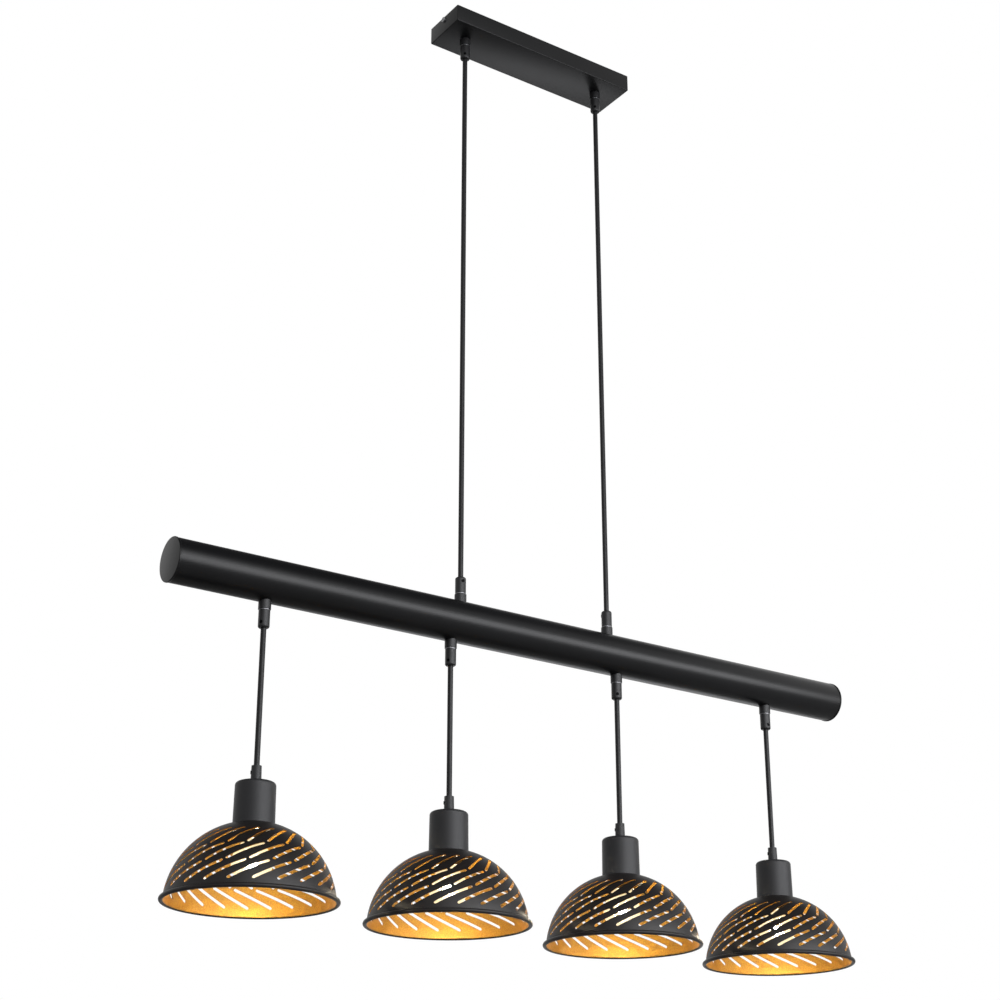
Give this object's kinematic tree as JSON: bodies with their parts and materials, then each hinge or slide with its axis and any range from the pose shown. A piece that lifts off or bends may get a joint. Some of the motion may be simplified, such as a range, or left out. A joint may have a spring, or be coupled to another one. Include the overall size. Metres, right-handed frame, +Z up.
{
  "type": "bar pendant lamp",
  "caption": "Bar pendant lamp: ceiling canopy, cord-hung round bar and slotted dome shades on drop cords, black outside and gold inside.",
  "frame": {"origin": "on the ceiling, at the centre of the bracket's two screw slots", "axes": "+Z up into the ceiling, X along the bar, the picture taken from the -Y side and from -X"},
  "size_m": [1, 0.1944, 1.2465],
  "materials": {
    "zinc_steel": "zinc plated",
    "black_paint": "satin black powder coat",
    "screw_steel": "dark plated",
    "terminal_plastic": "matte",
    "gland_plastic": "matte",
    "cord_sheath": "satin",
    "cap_paint": "satin dark grey",
    "holder_plastic": "matte",
    "contact_brass": "plain",
    "shade_paint": "matte black outside, gold inside",
    "bulb_metal": "plain",
    "bulb_glass": "opal, lit"
  },
  "bodies": {
    "ceiling": {"ceiling_bracket": "zinc_steel", "canopy_cover": "black_paint", "canopy_screws": "screw_steel", "terminal_block": "terminal_plastic", "canopy_gland_bases": "gland_plastic", "canopy_gland_nuts": "zinc_steel"},
    "swivels": {"canopy_swivels": "gland_plastic", "canopy_swivel_screws": "screw_steel"},
    "cord_left": {"suspension_cord_left": "cord_sheath"},
    "cord_right": {"suspension_cord_right": "cord_sheath"},
    "bar": {"bar_tube": "black_paint", "bar_end_caps": "black_paint", "top_glands": "gland_plastic", "top_gland_screws": "screw_steel", "drop_gland_bases": "gland_plastic", "bar_gland_nuts": "zinc_steel"},
    "pendant_1": {"drop_swivel_1": "gland_plastic", "drop_cord_1": "cord_sheath", "cord_grip_1": "gland_plastic", "clamp_screws_1": "screw_steel", "holder_cap_1": "cap_paint", "lampholder_1": "holder_plastic", "holder_contacts_1": "contact_brass", "shade_ring_1": "holder_plastic", "shade_1": "shade_paint"},
    "bulb_1": {"bulb_base_1": "bulb_metal", "bulb_glass_1": "bulb_glass"},
    "pendant_2": {"drop_swivel_2": "gland_plastic", "drop_cord_2": "cord_sheath", "cord_grip_2": "gland_plastic", "clamp_screws_2": "screw_steel", "holder_cap_2": "cap_paint", "lampholder_2": "holder_plastic", "holder_contacts_2": "contact_brass", "shade_ring_2": "holder_plastic", "shade_2": "shade_paint"},
    "bulb_2": {"bulb_base_2": "bulb_metal", "bulb_glass_2": "bulb_glass"},
    "pendant_3": {"drop_swivel_3": "gland_plastic", "drop_cord_3": "cord_sheath", "cord_grip_3": "gland_plastic", "clamp_screws_3": "screw_steel", "holder_cap_3": "cap_paint", "lampholder_3": "holder_plastic", "holder_contacts_3": "contact_brass", "shade_ring_3": "holder_plastic", "shade_3": "shade_paint"},
    "bulb_3": {"bulb_base_3": "bulb_metal", "bulb_glass_3": "bulb_glass"},
    "pendant_4": {"drop_swivel_4": "gland_plastic", "drop_cord_4": "cord_sheath", "cord_grip_4": "gland_plastic", "clamp_screws_4": "screw_steel", "holder_cap_4": "cap_paint", "lampholder_4": "holder_plastic", "holder_contacts_4": "contact_brass", "shade_ring_4": "holder_plastic", "shade_4": "shade_paint"},
    "bulb_4": {"bulb_base_4": "bulb_metal", "bulb_glass_4": "bulb_glass"}
  },
  "joints": [
    {"name": "bar_swing", "type": "hinge", "parent": "ceiling", "child": "swivels", "pos_m": [0, 0, -0.037], "axis": [1, 0, 0], "range_deg": [-20, 20]},
    {"name": "bar_sway", "type": "hinge", "parent": "swivels", "child": "cord_left", "pos_m": [-0.113, 0, -0.057], "axis": [0, 1, 0], "range_deg": [-12, 12], "deforming": ["suspension_cord_left"]},
    {"name": "bar_sway_right", "type": "hinge", "parent": "swivels", "child": "cord_right", "pos_m": [0.113, 0, -0.057], "axis": [0, 1, 0], "range_deg": [-12, 12], "deforming": ["suspension_cord_right"]},
    {"name": "bar_level", "type": "hinge", "parent": "cord_left", "child": "bar", "pos_m": [-0.113, 0, -0.82], "axis": [0, 1, 0], "range_deg": [-12, 12]},
    {"name": "pendant_1_swing", "type": "hinge", "parent": "bar", "child": "pendant_1", "pos_m": [-0.3795, 0, -0.916], "axis": [1, 0, 0], "range_deg": [-25, 25]},
    {"name": "pendant_2_swing", "type": "hinge", "parent": "bar", "child": "pendant_2", "pos_m": [-0.1265, 0, -0.916], "axis": [1, 0, 0], "range_deg": [-25, 25]},
    {"name": "pendant_3_swing", "type": "hinge", "parent": "bar", "child": "pendant_3", "pos_m": [0.1265, 0, -0.916], "axis": [1, 0, 0], "range_deg": [-25, 25]},
    {"name": "pendant_4_swing", "type": "hinge", "parent": "bar", "child": "pendant_4", "pos_m": [0.3795, 0, -0.916], "axis": [1, 0, 0], "range_deg": [-25, 25]},
    {"name": "bulb_1_unscrew", "type": "slide", "parent": "pendant_1", "child": "bulb_1", "axis": [0, 0, 1], "range_m": [-0.028, 0]},
    {"name": "bulb_2_unscrew", "type": "slide", "parent": "pendant_2", "child": "bulb_2", "axis": [0, 0, 1], "range_m": [-0.028, 0]},
    {"name": "bulb_3_unscrew", "type": "slide", "parent": "pendant_3", "child": "bulb_3", "axis": [0, 0, 1], "range_m": [-0.028, 0]},
    {"name": "bulb_4_unscrew", "type": "slide", "parent": "pendant_4", "child": "bulb_4", "axis": [0, 0, 1], "range_m": [-0.028, 0]}
  ],
  "couplings": [
    {"joint": "bar_sway_right", "follows": "bar_sway", "ratio": 1},
    {"joint": "bar_level", "follows": "bar_sway", "ratio": -1}
  ]
}
